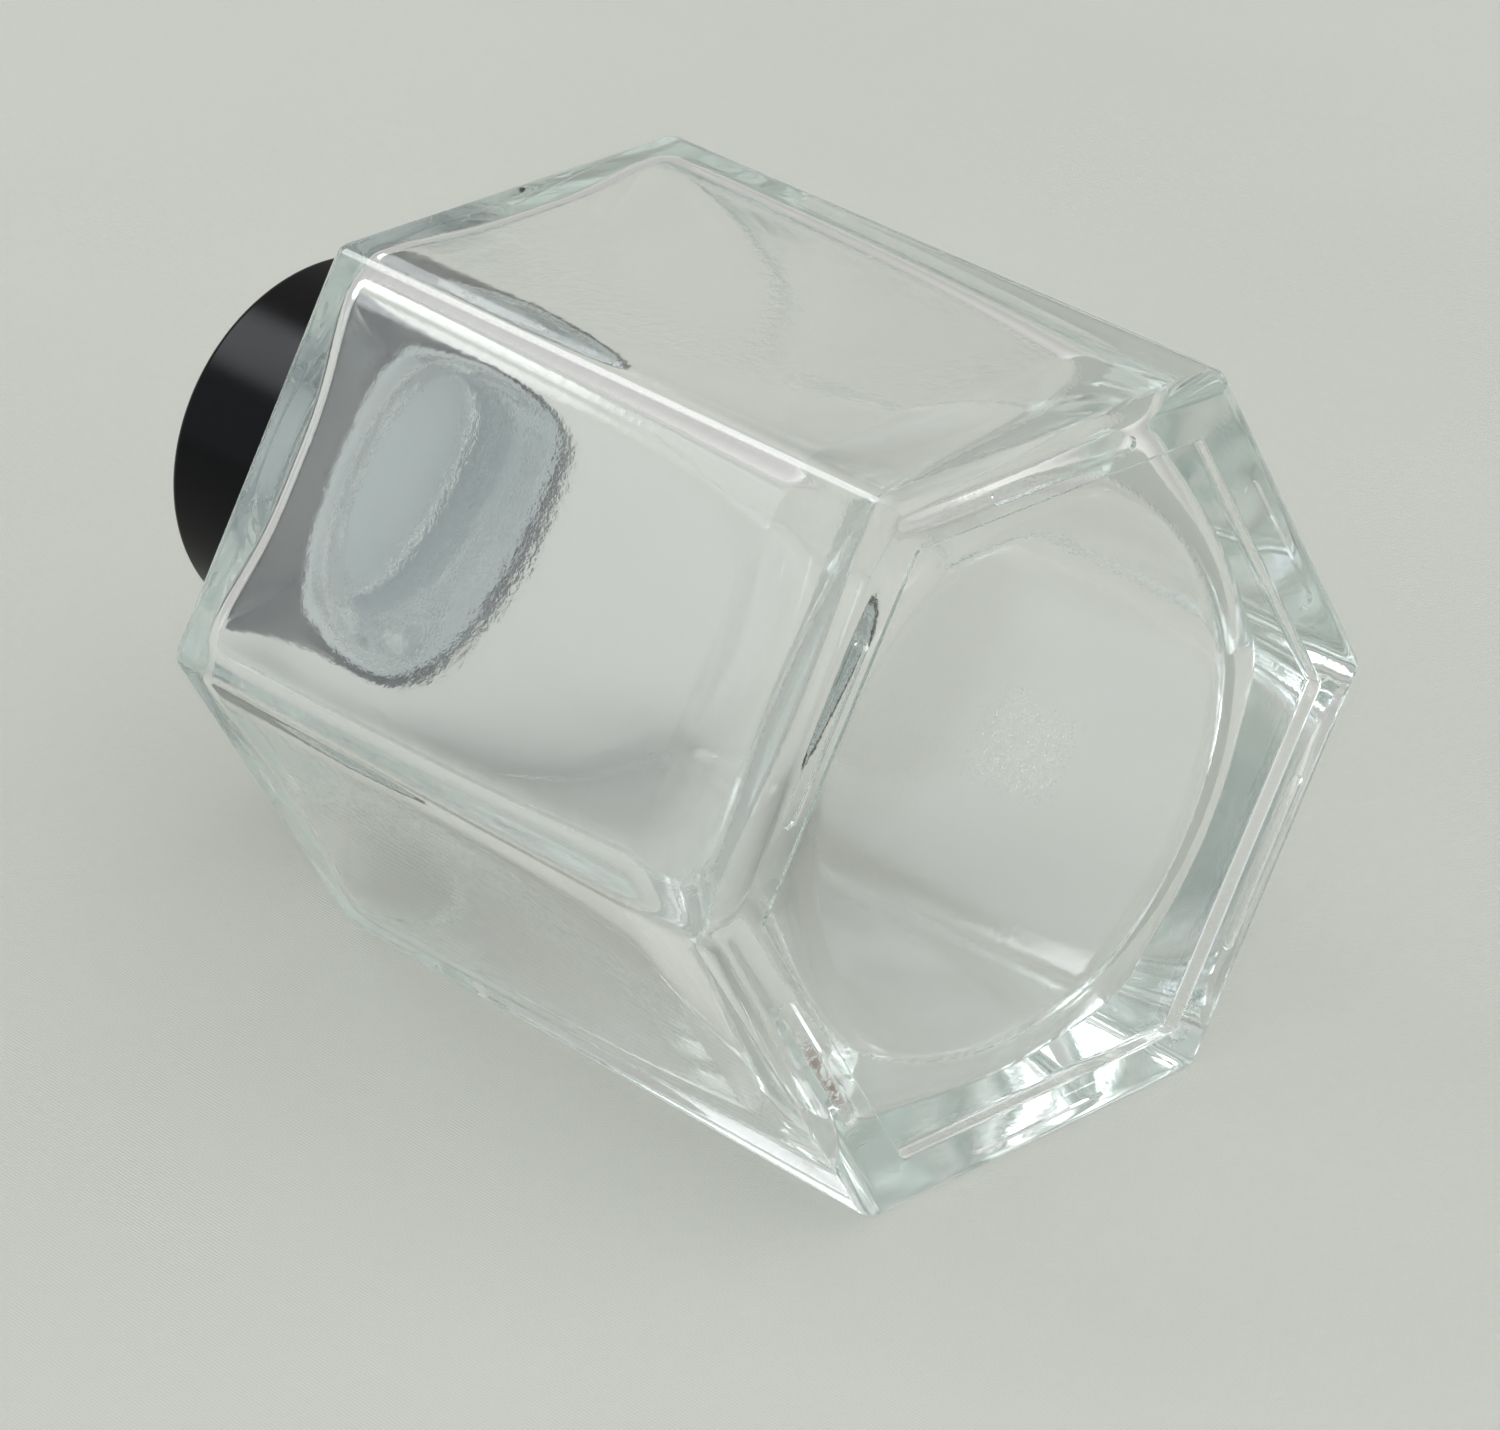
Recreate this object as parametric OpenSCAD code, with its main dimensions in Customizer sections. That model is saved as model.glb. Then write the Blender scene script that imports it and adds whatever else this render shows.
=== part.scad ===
// Hexagonal glass disinfectant jar with a two-piece screw cap and a sealing liner.
// +Z runs up the jar's axis. The origin is on the axis, level with the bearing rim.
// Two upright corners of the hexagon lie on the X axis, and two flats face +Y and -Y.

/* [Glass body] */
// Distance across opposite flats of the hexagonal body
across_flats = 80; // [72:0.5:104]
// Height of the hexagonal body, from the bearing rim to the shoulder's edge
body_height = 83.5; // [60:0.5:120]
// Rounding of the outer edges and corners
edge_radius = 2.2; // [1.5:0.1:3]
// Glass thickness of the flat walls at the shoulder
wall = 3.6; // [3:0.1:4.6]
// Extra glass thickness at the foot of the walls
foot_thickening = 1.2; // [0.6:0.1:2]
// Glass thickness of the floor, above the recessed panel
floor_thickness = 6.5; // [4:0.1:9]
// Rounding of the cavity's upright corners
cavity_corner = 7; // [5:0.1:9]
// Rounding between the cavity's walls and its ceiling
ceiling_curve = 3; // [2:0.1:4]
// Width of the curve between the round cavity floor and the walls
floor_curve = 8; // [6:0.1:10]
// Height of that curve
floor_rise = 9.5; // [7:0.1:12]
// Rise of the sloping shoulder, from the body's edge to the foot of the neck
shoulder_rise = 8.9; // [5:0.1:12]
// Glass thickness of the shoulder, measured upright
shoulder_thickness = 3.3; // [2.8:0.1:5]
// How far the shoulder's upper end stands out beyond the neck
shoulder_step = 1.5; // [1:0.1:2.5]
// How far the cavity's upper end stands out beyond the bore
mouth_flare = 1; // [0.5:0.1:2]

/* [Base] */
// Width of the bearing rim around the recessed panel
rim_width = 6.4; // [5.5:0.1:8]
// Depth of the recessed panel
recess_depth = 1.6; // [1:0.1:2.5]
// Length of the groove in each side of the bearing rim
groove_length = 20; // [10:0.5:28]
// Width of the rim grooves
groove_width = 2.4; // [1.6:0.1:2.8]
// Depth of the rim grooves
groove_depth = 0.5; // [0.3:0.1:0.9]

/* [Neck] */
// Diameter of the neck's bore
bore_diameter = 26; // [20:0.1:30]
// Glass thickness of the neck, under the thread
neck_wall = 4.1; // [3.6:0.1:5]
// Height of the neck above the shoulder
neck_height = 10.5; // [9.5:0.1:14]
// Rise of the thread in one turn
thread_pitch = 4.23; // [3.8:0.01:4.8]
// Depth of the glass thread
thread_depth = 1.1; // [0.8:0.05:1.3]
// Width of the glass thread at its root
thread_width = 2; // [1.6:0.05:2.2]
// Length of the glass thread in turns
thread_turns = 1.2; // [1:0.05:1.3]

/* [Cap] */
// Distance from the foot of the neck to the cap's lower edge
skirt_gap = 1; // [0.6:0.1:2]
// Height of the black outer shell
shell_height = 21.3; // [18:0.1:30]
// Side wall of the outer shell
shell_wall = 1.5; // [1.2:0.1:2.2]
// Top of the outer shell
shell_top = 1.8; // [1.4:0.1:2.6]
// Rounding of the shell's top edge
shell_edge = 1.3; // [0.5:0.1:1.4]
// Side wall of the threaded insert, outside its thread
insert_wall = 1.3; // [1:0.1:2]
// Crown of the threaded insert, above the liner
insert_top = 1.4; // [1:0.1:2]
// Width of the insert's thread at its root
insert_thread_width = 1.3; // [1:0.05:1.4]
// Height of the plain band between the insert's lower edge and its thread
insert_lead = 0.25; // [0.1:0.05:0.4]
// Length of the insert's thread in turns
insert_turns = 0.9; // [0.8:0.05:1]
// How far the insert's lower edge is set back inside the shell
insert_setback = 0.5; // [0.3:0.1:0.8]
// Thickness of the sealing liner
liner_thickness = 1.2; // [0.8:0.1:2]
// Width of the sealing ring that stands between two circular grooves in the liner
ring_width = 3.3; // [2.4:0.1:3.6]
// Width of those grooves
ring_groove_width = 1; // [0.6:0.1:1.2]
// Depth of those grooves
ring_groove_depth = 0.25; // [0.1:0.05:0.4]

/* [Clearances] */
// Radial gap between the glass thread and the insert
thread_gap = 0.3; // [0.2:0.05:0.5]
// Gap between the liner and the glass rim below it, and the insert above it
liner_gap = 0.08; // [0.05:0.01:0.2]

/* [Hidden] */

SIDES = 6;
ROUND = 96;
BALL = 32;
THREAD_STEPS = 48;
// Steps over which a thread's depth runs out at either end, and the least depth it keeps
FADE_STEPS = 6;
LEAST_DEPTH = 0.05;
// Depth to which shapes that are joined are sunk into each other, or a cut runs past a face
LAP = 0.5;

apothem = across_flats / 2;
corner_reach = apothem / cos(180 / SIDES);
cavity_apothem = apothem - wall;
cavity_foot_apothem = cavity_apothem - foot_thickening;
cavity_floor = recess_depth + floor_thickness;
cavity_top = body_height - shoulder_thickness;
floor_flat = cavity_foot_apothem - floor_curve;

neck_foot = body_height + shoulder_rise;
neck_top = neck_foot + neck_height;
bore_radius = bore_diameter / 2;
neck_radius = bore_radius + neck_wall;
thread_radius = neck_radius + thread_depth;
lip_rounding = neck_wall / 3;
// Height of the bore's lower mouth, where the cavity's slope meets it
mouth = neck_foot - shoulder_thickness;

liner_bottom = neck_top + liner_gap;
liner_top = liner_bottom + liner_thickness;
liner_radius = thread_radius - 2 * liner_gap;
ring_radius = bore_radius + neck_wall / 2;

shell_bottom = neck_foot + skirt_gap;
insert_bore = thread_radius + thread_gap;
insert_radius = insert_bore + insert_wall;
insert_bottom = shell_bottom + insert_setback;
insert_crown = liner_top + liner_gap;
insert_height = insert_crown + insert_top - insert_bottom;
insert_thread_reach = insert_bore - neck_radius - thread_gap;

shell_radius = insert_radius + shell_wall;

// Height of the middle of either thread where it starts. The insert's thread starts
// half a turn round from the glass thread, so that it lies half a pitch below it.
thread_start = insert_bottom + insert_lead + insert_thread_width / 2;
insert_start_angle = 180;

// A ball whose poles and equator reach the full radius, in the direction of every flat too
module ball(radius) {
    rotate_extrude($fn = 4 * SIDES)
        intersection() {
            circle(radius, $fn = BALL);
            translate([0, -radius])
                square([radius, 2 * radius]);
        }
}

// A round block whose rims are rounded
module puck(radius, rounding) {
    rotate_extrude($fn = 8 * SIDES)
        union() {
            translate([0, -rounding])
                square([radius - rounding, 2 * rounding]);
            translate([radius - rounding, 0])
                circle(rounding, $fn = BALL);
        }
}

// Places its children at the six upright corners, at the given distance from the axis
module at_corners(distance, height) {
    for (k = [0 : SIDES - 1])
        rotate([0, 0, k * 360 / SIDES])
            translate([distance, 0, height])
                children();
}

// The outside of the body: hexagonal block and sloping shoulder
module body_outside() {
    distance = corner_reach - edge_radius / cos(180 / SIDES);
    hull() {
        at_corners(distance, edge_radius)
            ball(edge_radius);
        at_corners(distance, body_height - edge_radius)
            ball(edge_radius);
        translate([0, 0, neck_foot - LAP])
            cylinder(r = neck_radius + shoulder_step, h = LAP, $fn = ROUND);
    }
}

// The cavity: a round floor, hexagonal walls and a sloping ceiling up to the bore
module body_inside() {
    top_distance = (cavity_apothem - cavity_corner) / cos(180 / SIDES);
    foot_distance = (cavity_foot_apothem - cavity_corner) / cos(180 / SIDES);
    hull() {
        for (bend = [0, 30, 60])
            translate([0, 0, cavity_floor + floor_rise * (1 - cos(bend))])
                cylinder(r = floor_flat + floor_curve * sin(bend), h = LAP, $fn = ROUND);
        at_corners(foot_distance, cavity_floor + floor_rise)
            puck(cavity_corner, ceiling_curve);
        at_corners(top_distance, cavity_top - ceiling_curve)
            puck(cavity_corner, ceiling_curve);
        translate([0, 0, mouth - LAP])
            cylinder(r = bore_radius + mouth_flare, h = LAP, $fn = ROUND);
    }
}

// The hexagonal panel sunk into the base
module base_recess() {
    panel_reach = (apothem - rim_width) / cos(180 / SIDES);
    translate([0, 0, -LAP])
        cylinder(r = panel_reach, h = recess_depth + LAP, $fn = SIDES);
}

// One round-ended groove in the middle of each side of the bearing rim
module rim_grooves() {
    groove_middle = apothem - (rim_width + edge_radius / 2) / 2;
    straight = groove_length - groove_width;
    for (k = [0 : SIDES - 1])
        rotate([0, 0, (k + 0.5) * 360 / SIDES])
            translate([groove_middle, 0, -LAP])
                linear_extrude(groove_depth + LAP)
                    union() {
                        square([groove_width, straight], center = true);
                        for (end = [-1, 1])
                            translate([0, end * straight / 2])
                                circle(d = groove_width, $fn = BALL);
                    }
}

// A right-hand thread ridge. It is swept from a trapezium whose root lies at
// root_radius and whose crest stands reach further out, or in where reach is negative.
// Its depth runs out over an eighth of a turn at both ends.
module thread_ridge(root_radius, reach, width, start_z, turns, start_angle) {
    steps = ceil(turns * THREAD_STEPS);
    sink = reach > 0 ? -LAP : LAP;
    points = [
        for (i = [0 : steps])
            let (
                angle = start_angle + i * 360 * turns / steps,
                z = start_z + i * thread_pitch * turns / steps,
                depth = max(LEAST_DEPTH, min(1, i / FADE_STEPS, (steps - i) / FADE_STEPS)),
                crest = root_radius + reach * depth,
                root = root_radius + sink
            )
            for (corner = [[root, -width / 2], [crest, -width / 4], [crest, width / 4], [root, width / 2]])
                [corner[0] * cos(angle), corner[0] * sin(angle), z + corner[1]]
    ];
    sides = [
        for (i = [0 : steps - 1])
            for (j = [0 : 3])
                [4 * i + j, 4 * i + (j + 1) % 4, 4 * i + 4 + (j + 1) % 4, 4 * i + 4 + j]
    ];
    triangles = [
        for (side = sides)
            for (half = [[side[0], side[1], side[2]], [side[0], side[2], side[3]]])
                half
    ];
    last = 4 * steps;
    ends = [[0, 2, 1], [0, 3, 2], [last, last + 1, last + 2], [last, last + 2, last + 3]];
    faces = [for (t = concat(triangles, ends)) reach > 0 ? t : [t[0], t[2], t[1]]];
    polyhedron(points = points, faces = faces, convexity = 6);
}

// The glass neck with its rounded lip
module neck() {
    translate([0, 0, neck_foot - LAP])
        rotate_extrude($fn = ROUND)
            union() {
                square([neck_radius, neck_height + LAP - lip_rounding]);
                square([neck_radius - lip_rounding, neck_height + LAP]);
                translate([neck_radius - lip_rounding, neck_height + LAP - lip_rounding])
                    circle(lip_rounding, $fn = BALL);
            }
}

module glass_jar() {
    color([0.80, 0.90, 0.87, 0.45])
        difference() {
            union() {
                body_outside();
                neck();
                thread_ridge(neck_radius, thread_depth, thread_width, thread_start, thread_turns, 0);
            }
            body_inside();
            translate([0, 0, mouth - LAP])
                cylinder(r = bore_radius, h = neck_top - mouth + 2 * LAP, $fn = ROUND);
            base_recess();
            rim_grooves();
        }
}

// The black outer shell, open below
module cap_shell() {
    color([0.03, 0.03, 0.035])
        translate([0, 0, shell_bottom])
            rotate_extrude($fn = ROUND)
                difference() {
                    union() {
                        square([shell_radius, shell_height - shell_edge]);
                        square([shell_radius - shell_edge, shell_height]);
                        translate([shell_radius - shell_edge, shell_height - shell_edge])
                            circle(shell_edge, $fn = BALL);
                    }
                    translate([0, -LAP])
                        square([insert_radius, shell_height - shell_top + LAP]);
                }
}

// The pale threaded insert that is pressed into the shell
module cap_insert() {
    color([0.80, 0.84, 0.86])
        union() {
            translate([0, 0, insert_bottom])
                difference() {
                    cylinder(r = insert_radius, h = insert_height, $fn = ROUND);
                    translate([0, 0, -LAP])
                        cylinder(r = insert_bore, h = insert_crown - insert_bottom + LAP, $fn = ROUND);
                }
            thread_ridge(insert_bore, -insert_thread_reach, insert_thread_width,
                thread_start, insert_turns, insert_start_angle);
        }
}

// The sealing liner, with raised rings where it meets the glass rim
module cap_liner() {
    color([0.90, 0.93, 0.94])
        translate([0, 0, liner_bottom])
            rotate_extrude($fn = ROUND)
                difference() {
                    square([liner_radius, liner_thickness]);
                    for (side = [-1, 1])
                        translate([ring_radius + side * (ring_width + ring_groove_width) / 2, 0])
                            square([ring_groove_width, 2 * ring_groove_depth], center = true);
                }
}

glass_jar();
cap_shell();
cap_insert();
cap_liner();
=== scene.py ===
import math
import bpy
from mathutils import Matrix, Vector


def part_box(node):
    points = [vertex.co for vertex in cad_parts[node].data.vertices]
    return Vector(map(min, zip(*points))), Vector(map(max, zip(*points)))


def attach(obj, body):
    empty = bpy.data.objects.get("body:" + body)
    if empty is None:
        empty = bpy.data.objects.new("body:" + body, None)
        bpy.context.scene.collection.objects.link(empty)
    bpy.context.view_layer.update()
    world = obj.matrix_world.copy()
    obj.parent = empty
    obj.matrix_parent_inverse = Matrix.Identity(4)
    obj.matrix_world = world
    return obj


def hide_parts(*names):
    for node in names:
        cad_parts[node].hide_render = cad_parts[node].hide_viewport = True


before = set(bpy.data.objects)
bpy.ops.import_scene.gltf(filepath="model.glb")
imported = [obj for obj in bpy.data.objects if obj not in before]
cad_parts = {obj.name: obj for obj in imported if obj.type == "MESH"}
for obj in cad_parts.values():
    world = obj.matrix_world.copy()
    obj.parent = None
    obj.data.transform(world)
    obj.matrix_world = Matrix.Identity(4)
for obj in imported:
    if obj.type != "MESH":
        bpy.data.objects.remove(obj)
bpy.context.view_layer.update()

# ---------------------------------------------------------------- sizes, in metres
MM = 0.001
SIDES = 6
SECTOR = 2 * math.pi / SIDES
COS30 = math.cos(math.pi / SIDES)
TAN30 = math.tan(math.pi / SIDES)

_, jar_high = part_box("glass_jar")
shell_low, shell_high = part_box("cap_shell")
insert_low, insert_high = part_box("cap_insert")
liner_low, liner_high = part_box("cap_liner")

# Outside of the glass, the same as the CAD model's
APOTHEM = jar_high.y
BODY_HEIGHT = 83.5 * MM
EDGE = 2.2 * MM  # radius of the outer edges
SHARPEST = 0.8 * MM  # smallest corner radius an edge narrows to
RIM = 6.4 * MM
RECESS = 1.6 * MM
RECESS_ROUND = 0.4 * MM
RIM_ROUND = 0.3 * MM
GROOVE_LENGTH, GROOVE_WIDTH, GROOVE_DEPTH = 20.0 * MM, 2.4 * MM, 0.5 * MM
GROOVE_DRAFT = 0.75  # width of a groove's floor against its mouth
GROOVE_MIDDLE = APOTHEM - (RIM + EDGE / 2) / 2
NECK_TOP = jar_high.z
NECK_FOOT = NECK_TOP - 10.5 * MM
BORE = 13.0 * MM
NECK = BORE + 4.1 * MM
LIP = 1.37 * MM  # rounding of the neck's end, inside and outside
NECK_FLARE = 1.6 * MM  # how far the neck's foot spreads over the shoulder
NECK_FILLET = 1.9 * MM
SLOPE = math.atan2(NECK_FOOT - BODY_HEIGHT, APOTHEM - NECK - 1.5 * MM)
PITCH = 4.23 * MM
THREAD_START = NECK_FOOT + 2.4 * MM
THREAD_DEPTH, THREAD_WIDTH, THREAD_TURNS = 1.1 * MM, 2.0 * MM, 1.2

# Inside of the glass. The walls are thicker at the middle of each flat than near the corners.
WALL_TOP = 3.0 * MM
WALL_FOOT = 4.6 * MM
BOW = 1.1 * MM
FLOOR = 6.5 * MM
FLOOR_CURVE_REACH, FLOOR_CURVE_HEIGHT = 8.0 * MM, 9.5 * MM
FOOT_ROUND = 0.45  # how round the walls are where they meet the floor's curve
CAVITY_CORNER = 4.5 * MM
SMALLEST_CORNER = 1.0 * MM
CAVITY_SOFTNESS = 3.2  # degrees
CEILING_CURVE = 3.6 * MM
CEILING_BOW = 0.6  # share of the bow that the shoulder's underside has
CORNER_RISE = 2.0 * MM  # how far the shoulder's underside climbs into the corners
SHOULDER = 4.2 * MM
MOUTH_TURN = 4.5 * MM

# Cap
SHELL_EDGE, SHELL_LIP, SHELL_CROWN = 1.3 * MM, 0.35 * MM, 1.8 * MM
INSERT_WALL, INSERT_EDGE = 1.3 * MM, 0.3 * MM
INSERT_THREAD_WIDTH, INSERT_THREAD_TURNS = 1.3 * MM, 0.9
THREAD_GAP = 0.3 * MM
CROWN_GAP = 0.08 * MM
LINER_EDGE = 0.2 * MM
LINER_RING, LINER_RING_DEPTH, LINER_RING_SOFTNESS = 2.15 * MM, 0.25 * MM, 0.35 * MM

# Floors and light
FLOOR_GAP = 0.05 * MM
FLOOR_REACH = 4.0
ROOM_FROM, ROOM = (-0.2, -0.62, -0.76), (0.5, 1.05)
WINDOW_FROM, WINDOW = (-0.74, -0.26, 0.62), 0.55
LAMP_FROM, LAMP = (-0.27, -0.66, 0.70), 6.4
CEILING_PLACE, CEILING_SIZE, CEILING_POWER = (-0.45, -1.4, 0.35), 0.9, 2.4


# ---------------------------------------------------------------- lofted meshes
def column_angles(half_columns, crowding):
    """Angles around the axis, crowded towards the six corners."""
    steps = [(j / half_columns) ** crowding * SECTOR / 2 for j in range(half_columns + 1)]
    sector = [-s for s in reversed(steps[1:])] + steps[:-1]
    return [k * SECTOR + s for k in range(SIDES) for s in sector]


def hexagon(apothem, corner, bow=0.0):
    """Radius as a function of angle: a hexagon with round corners and bowed sides."""
    reach = (apothem - corner) / COS30
    tangent = math.atan2(corner / 2, reach + corner * COS30)

    def radius(angle, _z):
        off_corner = abs((angle + SECTOR / 2) % SECTOR - SECTOR / 2)
        if off_corner < tangent:
            return reach * math.cos(off_corner) + math.sqrt(corner**2 - (reach * math.sin(off_corner)) ** 2)
        off_flat = SECTOR / 2 - off_corner
        along = min(1.0, apothem * math.tan(off_flat) / max((apothem - corner) * TAN30, 1e-6))
        return apothem / math.cos(off_flat) - bow * (1 - along * along)

    return radius


def softened(shape, softness):
    """The same outline with its changes of curvature smoothed over some degrees."""
    steps = 360
    reach = 3 * int(softness)
    weights = [math.exp(-0.5 * (k / softness) ** 2) for k in range(-reach, reach + 1)]
    exact = [shape(2 * math.pi * i / steps, 0.0) for i in range(steps)]
    total = sum(weights)
    table = [
        sum(w * exact[(i + k - reach) % steps] for k, w in enumerate(weights)) / total
        for i in range(steps)
    ]

    def radius(angle, _z):
        place = (angle / (2 * math.pi) % 1.0) * steps
        i, part = int(place) % steps, place % 1.0
        before, here = table[i - 1], table[i]
        after, beyond = table[(i + 1) % steps], table[(i + 2) % steps]
        bend = 2 * before - 5 * here + 4 * after - beyond
        twist = 3 * (here - after) + beyond - before
        return here + 0.5 * part * (after - before + part * (bend + part * twist))

    return radius


def cavity(apothem, corner, bow):
    return softened(hexagon(apothem, corner, bow), CAVITY_SOFTNESS)


def circle(r):
    return lambda _angle, _z: r


def blend(first, second, share):
    return lambda angle, z: (1 - share) * first(angle, z) + share * second(angle, z)


def ridge(base, depth, width, start, turns, start_angle):
    """A round wall with a screw thread on it: base radius plus depth where the ridge passes."""

    def radius(angle, z):
        height = 0.0
        for turn in range(-1, int(turns) + 2):
            travel = (angle - start_angle) / (2 * math.pi) + turn
            if not 0 <= travel <= turns:
                continue
            away = abs(z - start - travel * PITCH)
            flank = min(1.0, max(0.0, (width / 2 - away) / (width / 4)))
            fade = min(1.0, travel * 8, (turns - travel) * 8)
            height = max(height, flank * flank * (3 - 2 * flank) * fade)
        return base + depth * height

    return radius


def arc(centre, radius, first, last, steps):
    """Points (distance from the axis, height) along a round corner, angles in degrees."""
    turn = [math.radians(first + (last - first) * i / steps) for i in range(steps + 1)]
    return [(centre[0] + radius * math.cos(a), centre[1] + radius * math.sin(a)) for a in turn]


def loft(name, start_z, rings, end_z, angles, inside_from=None):
    """A closed skin from a point on the axis, through rings (height, radius function), to another.
    Points from the ring inside_from on are marked as the inner surface."""
    verts = [Vector((0, 0, start_z))]
    for z, radius, *lift in rings:
        for angle in angles:
            r = radius(angle, z)
            rise = lift[0] * (0.5 + 0.5 * math.cos(SIDES * angle)) ** 2 if lift else 0.0
            verts.append(Vector((r * math.cos(angle), r * math.sin(angle), z + rise)))
    verts.append(Vector((0, 0, end_z)))
    count = len(angles)
    last = len(verts) - 1
    faces = [(0, 1 + (i + 1) % count, 1 + i) for i in range(count)]
    for row in range(len(rings) - 1):
        low, high = 1 + row * count, 1 + (row + 1) * count
        faces += [(low + i, low + (i + 1) % count, high + (i + 1) % count, high + i) for i in range(count)]
    top = 1 + (len(rings) - 1) * count
    faces += [(top + i, top + (i + 1) % count, last) for i in range(count)]
    mesh = bpy.data.meshes.new(name)
    mesh.from_pydata([v[:] for v in verts], [], faces)
    mesh.update()
    if inside_from is not None:
        inside = mesh.attributes.new("inside", "FLOAT", "POINT")
        first = 1 + inside_from * count
        inside.data.foreach_set("value", [0.0] * first + [1.0] * (len(verts) - first))
    piece = bpy.data.objects.new(name, mesh)
    bpy.context.scene.collection.objects.link(piece)
    return piece


def smooth(piece, angle_deg):
    """Smooth shading with sharp edges kept, and normals that leave the flat areas flat."""
    piece.data.shade_smooth()
    piece.data.set_sharp_from_angle(angle=math.radians(angle_deg))
    flatten = piece.modifiers.new("flat_areas", "WEIGHTED_NORMAL")
    flatten.mode = "FACE_AREA"
    flatten.keep_sharp = True
    flatten.weight = 50
    apply_modifiers(piece)


# ---------------------------------------------------------------- the glass jar
def edge_corner(r):
    """Corner radius of the outer hexagon where an edge's rounding has drawn it in to r."""
    return max(SHARPEST, r - APOTHEM + EDGE)


def jar_outside():
    """Rings from the recessed panel, over the rim, up the walls and the shoulder to the lip."""
    panel = APOTHEM - RIM
    wall_steps, shoulder_steps, thread_steps = 18, 12, 52
    slope = math.degrees(SLOPE)

    # Recessed panel and bearing rim
    rings = [(RECESS, hexagon(panel * share, RECESS_ROUND)) for share in (0.2, 0.45, 0.7, 0.9)]
    rings += [(RECESS - 0.02 * MM, hexagon(panel - 0.5 * MM, RECESS_ROUND))]
    step = arc((panel - RECESS_ROUND, RECESS - RECESS_ROUND), RECESS_ROUND, 75, 0, 4)
    rings += [(z, hexagon(r, 0.5 * MM)) for r, z in step]
    step = arc((panel + RIM_ROUND, RIM_ROUND), RIM_ROUND, 180, 270, 4)
    rings += [(z, hexagon(r, SHARPEST)) for r, z in step]
    rings += [(0, hexagon(panel + (RIM - EDGE) * share, 1.0 * MM)) for share in (0.3, 0.6, 0.85)]
    rings += [(z, hexagon(r, edge_corner(r))) for r, z in arc((APOTHEM - EDGE, EDGE), EDGE, -90, 0, 8)]

    # Walls, and the edge of the shoulder
    wall = hexagon(APOTHEM, EDGE)
    rings += [(EDGE + (BODY_HEIGHT - 2 * EDGE) * i / wall_steps, wall) for i in range(1, wall_steps)]
    edge = arc((APOTHEM - EDGE, BODY_HEIGHT - EDGE), EDGE, 0, 90 - slope, 8)
    rings += [(z, hexagon(r, edge_corner(r))) for r, z in edge]

    # Shoulder, from the hexagon to the round foot of the neck
    edge_z, edge_shape = rings[-1]
    foot = NECK + NECK_FLARE
    foot_z = NECK_FOOT - 0.35 * MM
    for i in range(1, shoulder_steps):
        share = i / shoulder_steps
        rings.append((edge_z + (foot_z - edge_z) * share, blend(edge_shape, circle(foot), share)))
    fillet = arc((foot + 0.35 * MM, foot_z + 1.75 * MM), NECK_FILLET, 270 - slope * 0.6, 180, 8)
    rings += [(z, circle(max(r, NECK))) for r, z in fillet]

    # Neck with its thread, and the lip
    low, high = rings[-1][0], NECK_TOP - LIP
    thread = ridge(NECK, THREAD_DEPTH, THREAD_WIDTH, THREAD_START, THREAD_TURNS, 0.0)
    rings += [(low + (high - low) * i / thread_steps, thread) for i in range(1, thread_steps)]
    rings += [(z, circle(r)) for r, z in arc((NECK - LIP, high), LIP, 0, 90, 7)]
    return rings


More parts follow.
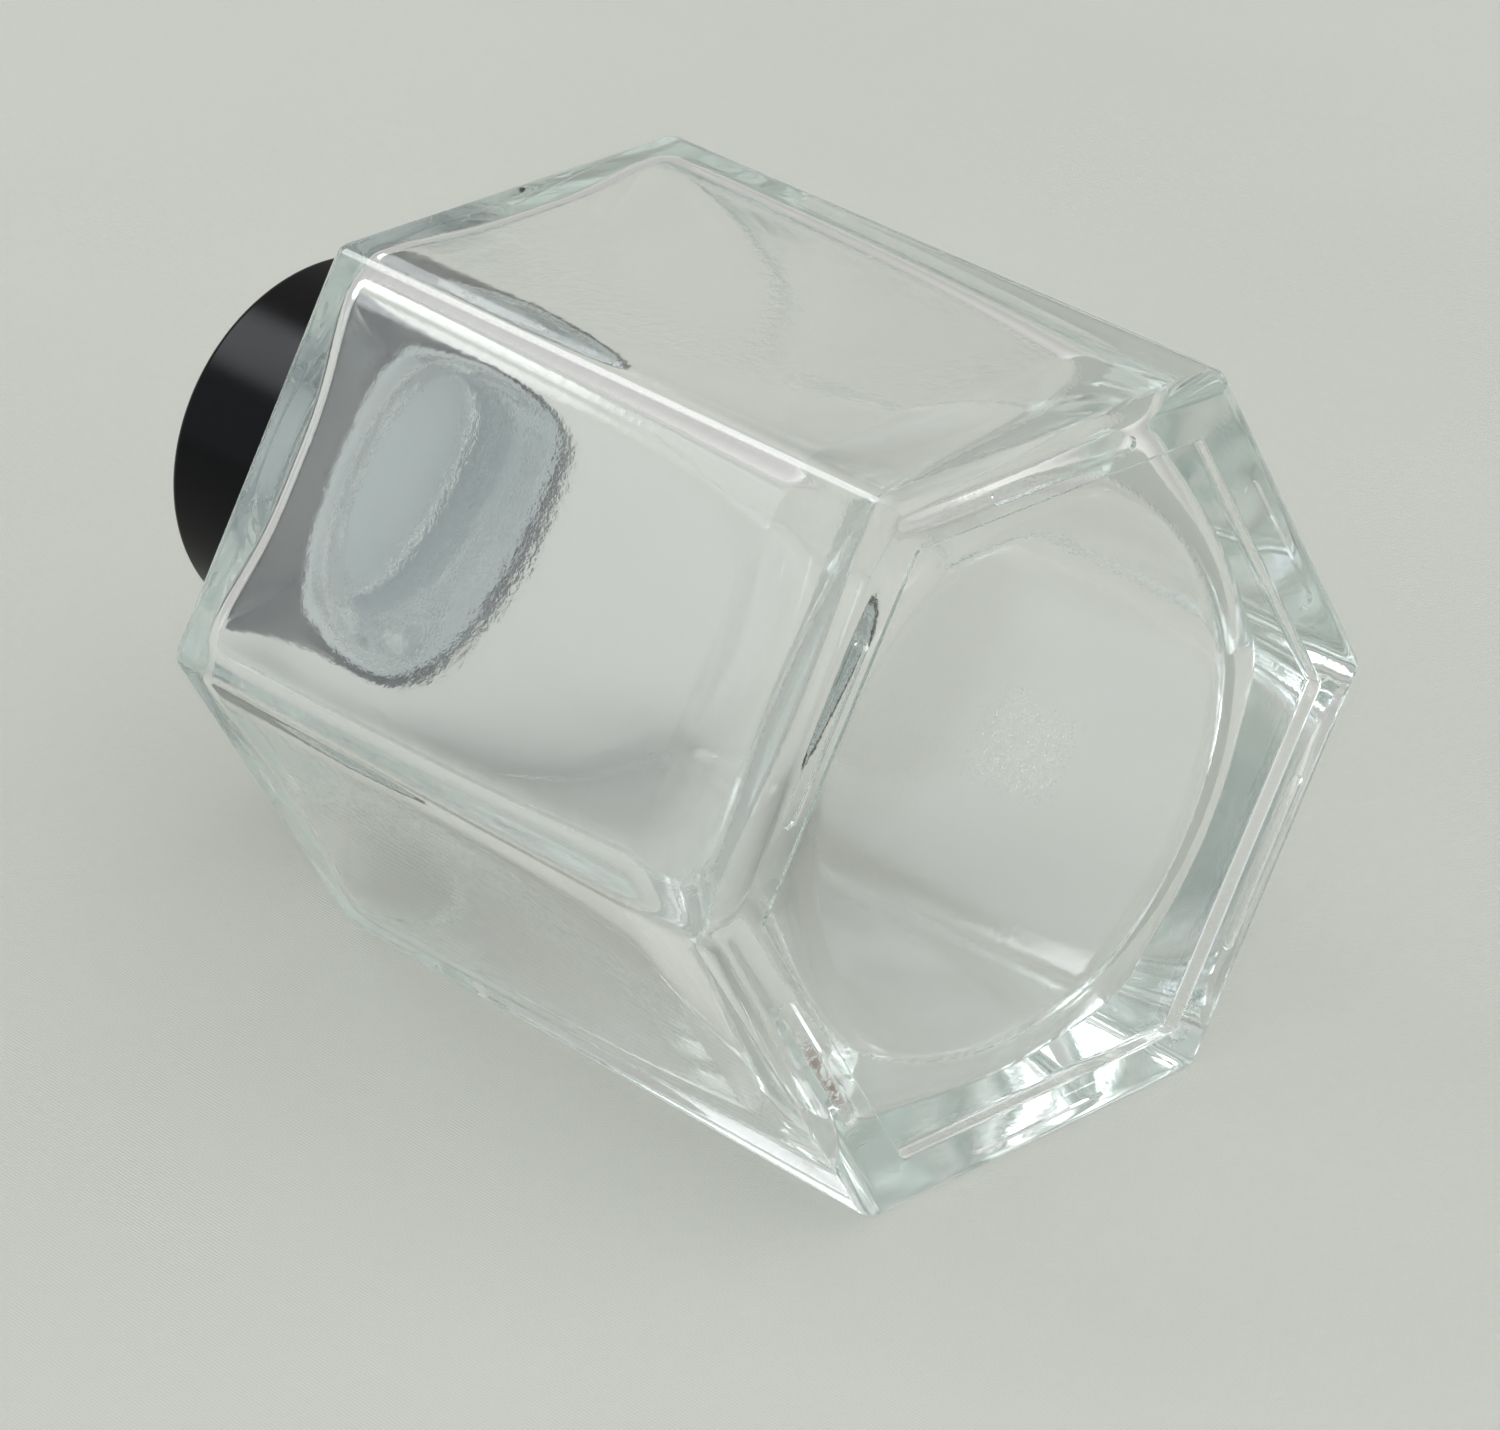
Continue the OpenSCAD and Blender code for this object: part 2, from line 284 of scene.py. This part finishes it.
def jar_inside():
    """Rings from the lip down the bore, under the shoulder, down the walls to the floor."""
    bore_steps, shoulder_steps, edge_steps, wall_steps, floor_steps = 8, 12, 9, 22, 18

    # Lip, bore, and the turn under the shoulder
    rings = [(z, circle(r)) for r, z in arc((BORE + LIP, NECK_TOP - LIP), LIP, 90, 180, 9)]
    top_inside = APOTHEM - WALL_TOP
    ceiling = BODY_HEIGHT + WALL_TOP * math.tan(SLOPE) - SHOULDER / math.cos(SLOPE)
    mouth = ceiling + (top_inside - BORE - MOUTH_TURN) * math.tan(SLOPE)
    bore = NECK_TOP - LIP - mouth - MOUTH_TURN
    rings += [(NECK_TOP - LIP - bore * i / bore_steps, circle(BORE)) for i in range(1, bore_steps)]
    turn = arc((BORE + MOUTH_TURN, mouth + MOUTH_TURN), MOUTH_TURN, 180, 270 - math.degrees(SLOPE), 9)
    rings += [(z, circle(r)) for r, z in turn]

    # Underside of the shoulder, and its rounded edge
    start_z, start_shape = rings[-1]
    centre = (top_inside - CEILING_CURVE, ceiling - CEILING_CURVE)
    edge = arc(centre, CEILING_CURVE, 90 - math.degrees(SLOPE), 0, edge_steps)

    def edge_shape(r, bow):
        return cavity(r, max(SMALLEST_CORNER, CAVITY_CORNER - top_inside + r), bow)

    first_r, first_z = edge[0]
    first_shape = edge_shape(first_r, BOW * CEILING_BOW)
    for i in range(1, shoulder_steps):
        share = i / shoulder_steps
        shape = blend(start_shape, first_shape, share)
        rings.append((start_z + (first_z - start_z) * share, shape, CORNER_RISE * share**2))
    for i, (r, z) in enumerate(edge):
        bow = BOW * (CEILING_BOW + (1 - CEILING_BOW) * i / edge_steps)
        rings.append((z, edge_shape(r, bow), CORNER_RISE))

    # Walls, thicker and rounder towards the floor
    wall_top = rings[-1][0]
    floor_z = RECESS + FLOOR
    wall_low = floor_z + FLOOR_CURVE_HEIGHT
    foot_inside = APOTHEM - WALL_FOOT
    for i in range(1, wall_steps):
        down = i / wall_steps
        r = top_inside + (foot_inside - top_inside) * down * down * (3 - 2 * down)
        z = wall_top + (wall_low - wall_top) * down
        lower_half = max(0.0, 2 * down - 1)
        shape = blend(cavity(r, CAVITY_CORNER, BOW), circle(r + BOW / 2), FOOT_ROUND * lower_half**2)
        rings.append((z, shape, CORNER_RISE * (1 - down) ** 2))

    # Curve into the round floor
    for i in range(floor_steps + 1):
        share = i / floor_steps
        bend = math.radians(90 * share)
        r = foot_inside - FLOOR_CURVE_REACH + FLOOR_CURVE_REACH * math.cos(bend)
        z = wall_low - FLOOR_CURVE_HEIGHT * math.sin(bend)
        early = min(1.0, share * 1.5)
        round_share = FOOT_ROUND + (1 - FOOT_ROUND) * early * early * (3 - 2 * early)
        round_shape = circle(r + BOW / 2 * (1 - share))
        rings.append((z, blend(cavity(r, CAVITY_CORNER, BOW * (1 - share)), round_shape, round_share)))
    floor = foot_inside - FLOOR_CURVE_REACH
    rings += [(floor_z, circle(floor * share)) for share in (0.95, 0.8, 0.6, 0.4, 0.2)]
    return rings


def groove_cutter(angle):
    """A round-ended bar that cuts one rim groove."""
    length, width, depth = GROOVE_LENGTH, GROOVE_WIDTH, GROOVE_DEPTH
    steps = 12
    outline = []
    for end, first in ((1, 0.0), (-1, math.pi)):
        for i in range(steps + 1):
            a = first + math.pi * i / steps
            outline.append((width / 2 * math.cos(a), end * (length - width) / 2 + width / 2 * math.sin(a)))
    count = len(outline)
    shorter = 1 - (1 - GROOVE_DRAFT) * width / length
    verts = [(x, y, -depth) for x, y in outline]
    verts += [(x * GROOVE_DRAFT, y * shorter, depth) for x, y in outline]
    faces = [tuple(reversed(range(count))), tuple(range(count, 2 * count))]
    faces += [(i, (i + 1) % count, count + (i + 1) % count, count + i) for i in range(count)]
    mesh = bpy.data.meshes.new("groove_cutter")
    mesh.from_pydata(verts, [], faces)
    mesh.transform(Matrix.Rotation(angle, 4, "Z") @ Matrix.Translation((GROOVE_MIDDLE, 0, 0)))
    cutter = bpy.data.objects.new("groove_cutter", mesh)
    bpy.context.scene.collection.objects.link(cutter)
    return cutter


def apply_modifiers(piece):
    depsgraph = bpy.context.evaluated_depsgraph_get()
    made = bpy.data.meshes.new_from_object(piece.evaluated_get(depsgraph))
    piece.modifiers.clear()
    piece.data = made


def glass_jar():
    outside = jar_outside()
    rings = outside + jar_inside()
    below_lip = len(outside) + 12  # the first ring that counts as the blown inner surface
    jar = loft("glass_jar_skin", RECESS, rings, RECESS + FLOOR, column_angles(24, 1.7), below_lip)
    cutters = [groove_cutter((k + 0.5) * SECTOR) for k in range(SIDES)]
    for cutter in cutters:
        cut = jar.modifiers.new("groove", "BOOLEAN")
        cut.operation = "DIFFERENCE"
        cut.solver = "EXACT"
        cut.object = cutter
    apply_modifiers(jar)
    for cutter in cutters:
        bpy.data.objects.remove(cutter)
    smooth(jar, 28)
    return jar


# ---------------------------------------------------------------- the cap
ROUND_COLUMNS = column_angles(16, 1.0)


def cap_shell():
    """Round black shell with a rounded top edge, open below."""
    radius, bottom, top = shell_high.x, shell_low.z, shell_high.z
    inner = insert_high.x
    edge, lower = SHELL_EDGE, SHELL_LIP
    crown = top - SHELL_CROWN
    rings = [(top, circle((radius - edge) * share)) for share in (0.25, 0.5, 0.75, 0.97)]
    rings += [(z, circle(r)) for r, z in arc((radius - edge, top - edge), edge, 90, 0, 10)]
    rings += [(top - edge - (top - edge - bottom - lower) * i / 10, circle(radius)) for i in range(1, 10)]
    rings += [(z, circle(r)) for r, z in arc((radius - lower, bottom + lower), lower, 0, -90, 5)]
    rings += [(z, circle(r)) for r, z in arc((inner + lower, bottom + lower), lower, 270, 180, 5)]
    rings += [(bottom + lower + (crown - bottom - lower) * i / 8, circle(inner)) for i in range(1, 9)]
    rings += [(crown, circle(inner * share)) for share in (0.98, 0.6, 0.3)]
    shell = loft("black_cap_shell", top, rings, crown, ROUND_COLUMNS)
    smooth(shell, 35)
    return shell


def cap_insert():
    """Pale insert with the internal thread."""
    radius, bottom, top = insert_high.x, insert_low.z, insert_high.z
    bore = radius - INSERT_WALL
    crown = liner_high.z + CROWN_GAP
    edge = INSERT_EDGE
    reach = bore - NECK - THREAD_GAP
    wall = ridge(bore, -reach, INSERT_THREAD_WIDTH, THREAD_START, INSERT_THREAD_TURNS, math.pi)
    rings = [(top, circle((radius - edge) * share)) for share in (0.3, 0.6, 0.97)]
    rings += [(z, circle(r)) for r, z in arc((radius - edge, top - edge), edge, 90, 0, 4)]
    rings += [(top - edge - (top - bottom - 2 * edge) * i / 4, circle(radius)) for i in range(1, 4)]
    rings += [(z, circle(r)) for r, z in arc((radius - edge, bottom + edge), edge, 0, -90, 4)]
    rings += [(z, circle(r)) for r, z in arc((bore + edge, bottom + edge), edge, 270, 180, 4)]
    steps = 56
    rings += [(bottom + edge + (crown - bottom - edge) * i / steps, wall) for i in range(1, steps + 1)]
    rings += [(crown, circle(bore * share)) for share in (0.97, 0.6, 0.3)]
    insert = loft("pale_cap_insert", top, rings, crown, ROUND_COLUMNS)
    smooth(insert, 35)
    return insert


def cap_liner():
    """Sealing disc with a raised ring between two shallow grooves, where the lip meets it."""
    radius, bottom, top = liner_high.x, liner_low.z, liner_high.z
    lip_middle = (BORE + NECK) / 2
    edge = LINER_EDGE

    def underside(r):
        away = [abs(r - lip_middle + side * LINER_RING) / LINER_RING_SOFTNESS for side in (-1, 1)]
        return bottom + LINER_RING_DEPTH * math.exp(-(min(away) ** 2))

    rings = [(top, circle((radius - edge) * share)) for share in (0.3, 0.6, 0.97)]
    rings += [(z, circle(r)) for r, z in arc((radius - edge, top - edge), edge, 90, 0, 4)]
    rings += [(z, circle(r)) for r, z in arc((radius - edge, bottom + edge), edge, 0, -90, 4)]
    steps = 60
    for i in range(1, steps):
        r = (radius - edge) * (1 - i / steps)
        rings.append((underside(r), circle(r)))
    liner = loft("sealing_liner", top, rings, bottom, ROUND_COLUMNS)
    smooth(liner, 40)
    return liner


# ---------------------------------------------------------------- materials
def new_material(name):
    material = bpy.data.materials.new(name)
    material.use_nodes = True
    return material, material.node_tree.nodes, material.node_tree.links


def add(nodes, kind, **inputs):
    node = nodes.new(kind)
    for key, value in inputs.items():
        node.inputs[key.replace("_", " ")].default_value = value
    return node


def noise_from(nodes, links, scale, detail=4.0, roughness=0.5):
    where = nodes.new("ShaderNodeTexCoord")
    texture = add(nodes, "ShaderNodeTexNoise", Scale=scale, Detail=detail, Roughness=roughness)
    links.new(where.outputs["Object"], texture.inputs["Vector"])
    return texture.outputs["Fac"]


def ramp(nodes, links, value, low, high, first, second):
    node = nodes.new("ShaderNodeMapRange")
    node.inputs["From Min"].default_value = low
    node.inputs["From Max"].default_value = high
    node.inputs["To Min"].default_value = first
    node.inputs["To Max"].default_value = second
    links.new(value, node.inputs["Value"])
    return node.outputs["Result"]


def mix_colours(nodes, links, share, first, second):
    node = nodes.new("ShaderNodeMix")
    node.data_type = "RGBA"
    links.new(share, node.inputs["Factor"])
    node.inputs["A"].default_value = (*first, 1)
    node.inputs["B"].default_value = (*second, 1)
    return node.outputs["Result"]


def bump(nodes, links, height, strength, distance, previous=None):
    node = add(nodes, "ShaderNodeBump", Strength=strength, Distance=distance)
    links.new(height, node.inputs["Height"])
    if previous:
        links.new(previous, node.inputs["Normal"])
    return node.outputs["Normal"]


def math_node(nodes, links, operation, first, second=None):
    node = nodes.new("ShaderNodeMath")
    node.operation = operation
    for socket, value in zip(node.inputs, (first, second)):
        if isinstance(value, (int, float)):
            socket.default_value = value
        elif value is not None:
            links.new(value, socket)
    return node.outputs["Value"]


def streak(nodes, links, centre, along, half_length, half_width):
    """1 along a short line on the base, fading to 0 at its ends and sides."""
    where = nodes.new("ShaderNodeTexCoord")
    shift = nodes.new("ShaderNodeVectorMath")
    shift.operation = "SUBTRACT"
    shift.inputs[1].default_value = centre
    links.new(where.outputs["Object"], shift.inputs[0])
    share = None
    across = Vector(along).cross(Vector((0, 0, 1)))
    for direction, reach in ((along, half_length), (across, half_width), ((0, 0, 1), 1.0 * MM)):
        part = nodes.new("ShaderNodeVectorMath")
        part.operation = "DOT_PRODUCT"
        part.inputs[1].default_value = direction
        links.new(shift.outputs["Vector"], part.inputs[0])
        away = math_node(nodes, links, "ABSOLUTE", part.outputs["Value"])
        fade = ramp(nodes, links, away, 0.4 * reach, reach, 1.0, 0.0)
        share = math_node(nodes, links, "MULTIPLY", share, fade) if share else fade
    return share


def around(degrees):
    """Unit vector at an angle around the jar's axis."""
    return Vector((math.cos(math.radians(degrees)), math.sin(math.radians(degrees)), 0))


def glass_material():
    """Clear glass with old dirt in places, polished outside and slightly hazy inside."""
    material, nodes, links = new_material("clear_glass")
    shader = nodes["Principled BSDF"]
    shader.inputs["IOR"].default_value = 1.52

    # Old dirt in one rim groove, a rubbed corner of the rim and pale specks on the recessed panel
    out = around(150)
    along = Vector((out.y, -out.x, 0))
    grime = streak(nodes, links, out * GROOVE_MIDDLE + along * 2.5 * MM, along, 8 * MM, 0.9 * MM)
    corner = around(58) * (APOTHEM - 1 * MM)
    rubbed = streak(nodes, links, corner, Vector((0.5, -0.866, 0)), 4 * MM, 2.2 * MM)
    middle = Vector((-3 * MM, -6.5 * MM, RECESS))
    patch = streak(nodes, links, middle, Vector((0.8, 0.6, 0)), 9 * MM, 6 * MM)
    grain = noise_from(nodes, links, 1500.0, 4.0, 0.7)
    fine = noise_from(nodes, links, 2600.0, 2.0, 0.6)
    brown = math_node(nodes, links, "MULTIPLY", grime, ramp(nodes, links, grain, 0.40, 0.52, 0.0, 0.95))
    spots = math_node(nodes, links, "MULTIPLY", rubbed, ramp(nodes, links, fine, 0.60, 0.68, 0.0, 0.7))
    brown = math_node(nodes, links, "MAXIMUM", brown, spots)
    white = math_node(nodes, links, "MULTIPLY", patch, ramp(nodes, links, fine, 0.6, 0.65, 0.0, 1.0))
    links.new(mix_colours(nodes, links, brown, (1, 1, 1), (0.16, 0.085, 0.04)), shader.inputs["Base Color"])
    solid = math_node(nodes, links, "MAXIMUM", brown, math_node(nodes, links, "MULTIPLY", white, 0.6))
    links.new(math_node(nodes, links, "SUBTRACT", 1.0, solid), shader.inputs["Transmission Weight"])

    # The pressed outside is polished. The blown inside is slightly hazy and uneven.
    inside = nodes.new("ShaderNodeAttribute")
    inside.attribute_name = "inside"
    smears = noise_from(nodes, links, 55.0, 5.0, 0.6)
    haze = ramp(nodes, links, smears, 0.5, 0.8, 0.02, 0.07)
    blown = math_node(nodes, links, "MULTIPLY", inside.outputs["Fac"], 0.05)
    haze = math_node(nodes, links, "ADD", haze, blown)
    dirt = math_node(nodes, links, "MAXIMUM", math_node(nodes, links, "MULTIPLY", solid, 0.6), haze)
    links.new(dirt, shader.inputs["Roughness"])
    peel = noise_from(nodes, links, 700.0, 3.0, 0.6)
    peel = math_node(nodes, links, "MULTIPLY", peel, inside.outputs["Fac"])
    links.new(bump(nodes, links, peel, 0.25, 0.1 * MM), shader.inputs["Normal"])
    tint = nodes.new("ShaderNodeVolumeAbsorption")
    tint.inputs["Color"].default_value = (0.76, 0.92, 0.88, 1)
    tint.inputs["Density"].default_value = 3.6
    links.new(tint.outputs["Volume"], nodes["Material Output"].inputs["Volume"])
    return material


def black_plastic_material():
    """Smooth black plastic with a soft sheen."""
    material, nodes, links = new_material("black_plastic")
    shader = nodes["Principled BSDF"]
    mottle = noise_from(nodes, links, 900.0, 3.0)
    links.new(
        mix_colours(nodes, links, mottle, (0.001, 0.001, 0.0015), (0.003, 0.003, 0.004)),
        shader.inputs["Base Color"],
    )
    shader.inputs["Specular IOR Level"].default_value = 0.08
    haze = noise_from(nodes, links, 120.0, 5.0, 0.65)
    links.new(ramp(nodes, links, haze, 0.3, 0.75, 0.15, 0.22), shader.inputs["Roughness"])
    grain = noise_from(nodes, links, 5000.0, 2.0)
    links.new(bump(nodes, links, grain, 0.08, 0.05 * MM), shader.inputs["Normal"])
    return material


def pale_plastic_material(name, first, second, gloss):
    """Pale plastic or foam, faintly clouded, with a fine grain."""
    material, nodes, links = new_material(name)
    shader = nodes["Principled BSDF"]
    cloud = noise_from(nodes, links, 160.0, 4.0)
    links.new(mix_colours(nodes, links, cloud, first, second), shader.inputs["Base Color"])
    haze = noise_from(nodes, links, 420.0, 3.0)
    links.new(ramp(nodes, links, haze, 0.3, 0.7, gloss, gloss + 0.15), shader.inputs["Roughness"])
    grain = noise_from(nodes, links, 2600.0, 3.0)
    links.new(bump(nodes, links, grain, 0.12, 0.1 * MM), shader.inputs["Normal"])
    return material


def one_sided(nodes, links, shader):
    """Lets a view from behind the surface through, so that it never hides the object."""
    geometry = nodes.new("ShaderNodeNewGeometry")
    clear = nodes.new("ShaderNodeBsdfTransparent")
    mix = nodes.new("ShaderNodeMixShader")
    links.new(geometry.outputs["Backfacing"], mix.inputs["Fac"])
    links.new(shader.outputs["BSDF"], mix.inputs[1])
    links.new(clear.outputs["BSDF"], mix.inputs[2])
    links.new(mix.outputs["Shader"], nodes["Material Output"].inputs["Surface"])


def cloth_material():
    """Pale plain-woven cloth with a few bits of lint."""
    material, nodes, links = new_material("pale_floor")
    shader = nodes["Principled BSDF"]
    shader.inputs["Roughness"].default_value = 0.9
    shader.inputs["Specular IOR Level"].default_value = 0.15
    cloud = noise_from(nodes, links, 7.0, 3.0)
    cloth_tone = mix_colours(nodes, links, cloud, (0.452, 0.467, 0.433), (0.507, 0.524, 0.487))
    where = nodes.new("ShaderNodeTexCoord")
    normal = None
    for direction in ("X", "Z"):
        thread = add(nodes, "ShaderNodeTexWave", Scale=780.0, Distortion=1.5, Detail=2.0)
        thread.bands_direction = direction
        links.new(where.outputs["Object"], thread.inputs["Vector"])
        normal = bump(nodes, links, thread.outputs["Fac"], 0.25, 0.1 * MM, normal)
    links.new(normal, shader.inputs["Normal"])

    # A few tiny dark bits of lint
    lint = add(nodes, "ShaderNodeTexVoronoi", Scale=38.0)
    links.new(where.outputs["Object"], lint.inputs["Vector"])
    rare = nodes.new("ShaderNodeSeparateColor")
    links.new(lint.outputs["Color"], rare.inputs["Color"])
    chosen = math_node(nodes, links, "GREATER_THAN", rare.outputs["Red"], 0.9)
    close = ramp(nodes, links, lint.outputs["Distance"], 0.010, 0.018, 0.75, 0.0)
    tone = nodes.new("ShaderNodeMix")
    tone.data_type = "RGBA"
    links.new(math_node(nodes, links, "MULTIPLY", chosen, close), tone.inputs["Factor"])
    links.new(cloth_tone, tone.inputs["A"])
    tone.inputs["B"].default_value = (0.05, 0.05, 0.05, 1)
    links.new(tone.outputs["Result"], shader.inputs["Base Color"])
    one_sided(nodes, links, shader)
    return material


# ---------------------------------------------------------------- floor, light and camera
def plane(name, corners, material):
    mesh = bpy.data.meshes.new(name)
    mesh.from_pydata(corners, [], [(0, 1, 2, 3)])
    floor = bpy.data.objects.new(name, mesh)
    bpy.context.scene.collection.objects.link(floor)
    mesh.materials.append(material)
    return floor


def stage():
    """The jar lies with its +Y flat on the pale floor, as if the floor stood upright behind it.
    A second floor lies under the base. It shows from above, directly and through the glass,
    and doesn't change the light."""
    far = FLOOR_REACH
    y = APOTHEM + FLOOR_GAP
    cloth = cloth_material()
    plane("floor_behind", [(-far, y, -far), (far, y, -far), (far, y, far), (-far, y, far)], cloth)
    z = -FLOOR_GAP
    under = plane("floor_under", [(-far, -far, z), (far, -far, z), (far, far, z), (-far, far, z)], cloth)
    under.visible_shadow = False
    under.visible_diffuse = False
    under.visible_glossy = False


def ceiling_light():
    light = bpy.data.lights.new("ceiling", "AREA")
    light.shape = "RECTANGLE"
    light.size = light.size_y = CEILING_SIZE
    light.energy = CEILING_POWER
    lamp = bpy.data.objects.new("ceiling", light)
    bpy.context.scene.collection.objects.link(lamp)
    lamp.location = CEILING_PLACE
    aim = Vector((0, 0, 0.05)) - Vector(CEILING_PLACE)
    lamp.rotation_euler = aim.to_track_quat("-Z", "Y").to_euler()


def glow(nodes, links, direction, low, high, first, second):
    """Brightness of the surroundings: smooth, and strongest in one direction."""
    where = nodes.new("ShaderNodeTexCoord")
    towards = nodes.new("ShaderNodeVectorMath")
    towards.operation = "DOT_PRODUCT"
    towards.inputs[1].default_value = Vector(direction).normalized()
    links.new(where.outputs["Generated"], towards.inputs[0])
    share = ramp(nodes, links, towards.outputs["Value"], low, high, first, second)
    share.node.interpolation_type = "SMOOTHSTEP"
    return share


def lights():
    """A bright room beyond -Y and -Z, dimmer elsewhere, with a bluish window on the left, a soft
    lamp above the cap and a ceiling light."""
    world = bpy.data.worlds.new("soft_studio")
    bpy.context.scene.world = world
    world.use_nodes = True
    nodes, links = world.node_tree.nodes, world.node_tree.links
    nodes.remove(nodes["Background"])
    sources = (
        ((1.0, 0.995, 0.96), ROOM_FROM, -0.5, 0.75, *ROOM),
        ((0.72, 0.84, 1.0), WINDOW_FROM, 0.90, 0.985, 0.0, WINDOW),
        ((0.93, 0.96, 1.0), LAMP_FROM, 0.95, 0.992, 0.0, LAMP),
    )
    total = None
    for colour, *spread in sources:
        source = nodes.new("ShaderNodeBackground")
        source.inputs["Color"].default_value = (*colour, 1)
        links.new(glow(nodes, links, *spread), source.inputs["Strength"])
        if total is not None:
            both = nodes.new("ShaderNodeAddShader")
            links.new(total.outputs[0], both.inputs[0])
            links.new(source.outputs[0], both.inputs[1])
            source = both
        total = source
    links.new(total.outputs[0], nodes["World Output"].inputs["Surface"])
    ceiling_light()


def camera():
    """The photograph's camera: up in the picture is -Y."""
    place = Vector((-0.41994, -0.30953, -0.40766))
    aim = Vector((-0.00227, 0.00579, 0.04192))
    roll = math.radians(-0.76)
    forward = (aim - place).normalized()
    side = forward.cross(Vector((0, -1, 0))).normalized()
    upward = side.cross(forward)
    top = upward * math.cos(roll) + side * math.sin(roll)
    right = forward.cross(top)
    data = bpy.data.cameras.new("camera")
    data.sensor_width = 36.0
    data.lens = 159.8
    data.clip_start = 0.01
    data.clip_end = 30.0
    eye = bpy.data.objects.new("camera", data)
    bpy.context.scene.collection.objects.link(eye)
    eye.matrix_world = Matrix.Translation(place) @ Matrix((right, top, -forward)).transposed().to_4x4()
    bpy.context.scene.camera = eye


def dress(piece, body, node, material):
    """Gives a piece its material and body, and puts it in its CAD node's place."""
    piece.data.materials.clear()
    piece.data.materials.append(material)
    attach(piece, body)
    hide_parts(node)


jar = glass_jar()
jar.visible_shadow = False  # light reaches the floor through the glass
dress(jar, "jar", "glass_jar", glass_material())
dress(cap_shell(), "cap", "cap_shell", black_plastic_material())
pale = pale_plastic_material("pale_plastic", (0.86, 0.97, 0.985), (0.90, 0.985, 0.99), 0.35)
dress(cap_insert(), "cap", "cap_insert", pale)
foam = pale_plastic_material("liner_foam", (0.86, 0.97, 0.985), (0.91, 0.985, 0.99), 0.45)
dress(cap_liner(), "liner", "cap_liner", foam)

stage()
lights()
camera()

# Clear glass needs long light paths, or its thick edges turn black
cycles = bpy.context.scene.cycles
cycles.max_bounces = 40
cycles.glossy_bounces = 32
cycles.transmission_bounces = 40
cycles.transparent_max_bounces = 16
bpy.context.scene.view_settings.view_transform = "Standard"
